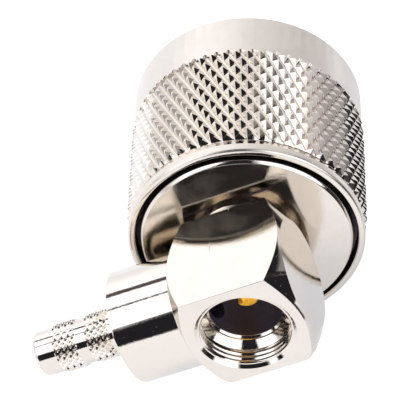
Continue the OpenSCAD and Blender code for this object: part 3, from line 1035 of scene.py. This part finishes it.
def bar_profile(turn, reach):
    shoulder = BAR_HALF - (reach - END_RADIUS) * END_SLOPE
    blunt = 0.0
    if abs(turn - BLUNT_CORNER) < pi / 4:
        blunt = min(max((reach - BLUNT_FROM) / BLUNT_WITHIN, 0.0), 1.0)
    tip = EDGE + BLUNT_BY * blunt**2 * (3 - 2 * blunt)
    quarter = [k * pi / 12 for k in range(7)]
    rim = [(POST_LAND - RIM + RIM * cos(a), POST_TIP + RIM - RIM * sin(a), 0) for a in quarter]
    return soften([
        (0, BAR_HALF), (END_RADIUS, BAR_HALF), (reach, shoulder, tip), (reach, -shoulder, tip),
        (BARREL, -BAR_HALF + (BARREL - END_RADIUS) * END_SLOPE), (BARREL, BARREL_END, 0.12),
        (POST_LAND, BARREL_END), *rim, (CABLE_BORE + 0.03, POST_TIP, 0),
        (CABLE_BORE, POST_TIP + 0.05, 0), (CABLE_BORE, BORE_END, 0), (0, BORE_END, 0),
    ], EDGE)


bar = bmesh.new()
strands = []
for turn, reach in bar_outline():
    profile = bar_profile(turn, reach)
    strands.append([bar.verts.new((r * sin(turn), r * cos(turn), x)) for r, x in profile])
for strand, after in zip(strands, strands[1:] + strands[:1]):
    for k in range(len(strand) - 1):
        bar.faces.new((strand[k], strand[k + 1], after[k + 1], after[k]))
weld(bar, TIGHT)
face_outwards(bar)
bmesh.ops.transform(bar, matrix=ACROSS, verts=bar.verts)
print("bar", len(bar.faces), "faces, volume", round(bar.calc_volume(), 1), "mm3")

# %% Access hole
COVER_ROOT, COVER_CREST, COVER_FRONT, COVER_BACK = 3.87, 3.72, 25.7, 27.2
CHAMBER, NECK_HOLE, HOLE_MOUTH, OUTSIDE = 3.1, 4.02, 4.26, 28.4
inner_part = [
    (0, 17.3, 0), (NECK_HOLE, 17.3, 0), (NECK_HOLE, BEAD_BACK, 0), (CHAMBER, BEAD_BACK, 0),
    (CHAMBER, 24.7, 0.06), (3.3, 24.88, 0.04), (3.31, 25.0, 0.03), (3.84, 25.63, 0.1),
    (COVER_ROOT, COVER_FRONT, 0),
]
outer_part = [
    (COVER_ROOT, COVER_BACK, 0), (3.98, COVER_BACK, 0), (HOLE_MOUTH, 27.46, 0),
    (HOLE_MOUTH, OUTSIDE, 0), (0, OUTSIDE, 0),
]
cutter = lathe(soften(inner_part, 0.04), 160, closed=False)
add_shape(cutter, lathe(soften(outer_part, 0), 160, closed=False))
add_shape(cutter, grown(
    screw_thread, Root_radius=COVER_ROOT, Crest_radius=COVER_CREST, Pitch=0.5,
    Front=COVER_FRONT, Back=COVER_BACK, Fade=0.1, Root_share=0.0, Full_share=1.2,
    Segments=160, Rows_per_pitch=12, Finish=nickel_mirror,
))
weld(cutter, CLOSE, TIGHT)
face_outwards(cutter)
print("cutter open edges", sum(1 for e in cutter.edges if len(e.link_faces) != 2))
block = cut_away(bar, cutter)
print("block", len(block.faces), "faces, volume", round(block.calc_volume(), 1), "mm3")

# %% [markdown]
# ## Knurled bands on the post
# Two narrow knurled bands grip the braid under the crimp. They use the same tree with a much
# finer tooth, and each band is closed underneath, just below the post's skin.

# %% Post bands
POST_CREST, BAND_LENGTH, BAND_SKIN, BAND_CORE, LIP = 2.15, 2.1, -0.17, -0.24, 0.1
CHAMBER_WITHIN, CHAMBER_BACK, BORE_WITHIN = 4.1, 24.45, 1.57
for front in (-17.4, -14.3):
    back, half_way = front + BAND_LENGTH, front + BAND_LENGTH / 2
    band = knurl_strip(
        "post_tooth", POST_CREST, 24, 0.62, front, back, nickel_mirror,
        deep=0.23, shallow=0.21, crests=(0.04, 0.04), floor=0.04,
    )
    ends = []
    for z, way in ((front, -1), (back, 1)):
        ends.append((cut_strip(band, z, BAND_SKIN, 0.6, way), z, way * LIP))
    for edges, z, lip in ends:
        run_on(band, edges, [(z + lip, BAND_CORE), (half_way + lip, BAND_CORE)])
    rolled(band, POST_CREST)
    stitch(band, rim_verts(band, half_way - LIP), rim_verts(band, half_way + LIP))
    face_outwards(band)
    bmesh.ops.transform(band, matrix=ACROSS, verts=band.verts)
    add_shape(block, band)
# Painted shade: faces in the access hole's chamber and in the cable bore take the dark colour, for
# the light that does not reach them.
for face in block.faces:
    middle = face.calc_center_median()
    in_chamber = hypot(middle.x, middle.y) < CHAMBER_WITHIN and middle.z < CHAMBER_BACK
    in_bore = hypot(middle.y, middle.z - BAR_STATION) < BORE_WITHIN and middle.x < 0
    face.material_index = int(in_chamber or in_bore)
finished(
    block, "square_body", [nickel_mirror, chamber_dull], "plug_body",
    "right_angle_body",
)

# %% [markdown]
# ## Contacts
# The outer contact is a thin slotted sleeve that springs against the jack, and the centre
# contact is a gold-plated pin. Its back end is forked to take the cable's wire, and that fork
# is what glints inside the access hole.

# %% Slotted sleeve
def saw_blade(size, place):
    blade = bmesh.new()
    bmesh.ops.create_cube(blade, size=1)
    bmesh.ops.scale(blade, vec=size, verts=blade.verts)
    bmesh.ops.translate(blade, vec=place, verts=blade.verts)
    return blade


sleeve = lathe(soften([
    (3.6, 0), (3.9, 0), (4.1, 0.2), (4.1, SLEEVE_FRONT), (4.8, SLEEVE_FRONT),
    (4.8, SLEEVE_BACK), (3.5, SLEEVE_BACK), (3.5, 0.2),
], 0.05), 160)
for quarter in (45, 135):
    blade = saw_blade((12, 0.45, 8.2), (0, 0, 3.1))
    bmesh.ops.rotate(blade, matrix=Matrix.Rotation(radians(quarter), 3, "Z"), verts=blade.verts)
    sleeve = cut_away(sleeve, blade)
finished(
    sleeve, "slotted_sleeve", [nickel_contact], "plug_body", "outer_contact"
)

# %% Centre contact
pin = lathe(soften([
    (0, 0.35), (0.3, 0.35, 0.15), (0.62, 0.83, 0.4), (0.825, 1.55, 0.4), (0.825, 5.3), (1.52, 5.3),
    (1.52, 7.4), (1.05, 7.4), (1.05, 23.25, 0.1), (0, 23.25),
], 0.04), 64)
pin = cut_away(pin, saw_blade((1.0, 0.8, 7.8), (-0.95, -0.1, 23.1)))
finished(pin, "forked_pin", [gold_plate], "plug_body", "centre_contact")

# %% [markdown]
# ## Insulator, gasket and ring
# The bead holds the pin on the axis, and the gasket seals the jack's rim against the shell.
# The split ring that keeps the nut on is hidden, so the model's own node stays and only gets
# its bronze.

# %% Bead, gasket and ring
bead = lathe(soften([
    (1.54, 5.85), (3.38, 5.85), (3.48, 5.95), (3.48, BEAD_BACK), (1.07, BEAD_BACK),
    (1.07, 7.4), (1.54, 7.4),
], 0.06), 128)
finished(bead, "white_bead", [white_plastic], "plug_body", "insulator")
washer = lathe(soften([(6.0, 8.8), (7.6, 8.8), (7.6, 10.4), (6.0, 10.4)], 0.25, 4), 160)
finished(washer, "red_gasket", [red_silicone], "plug_body", "gasket")
ring_node = frame["nodes"]["retaining_ring"]
ring_node.data.materials.clear()
ring_node.data.materials.append(spring_bronze)
print(ring_node.name, "keeps its own mesh in", spring_bronze.name)
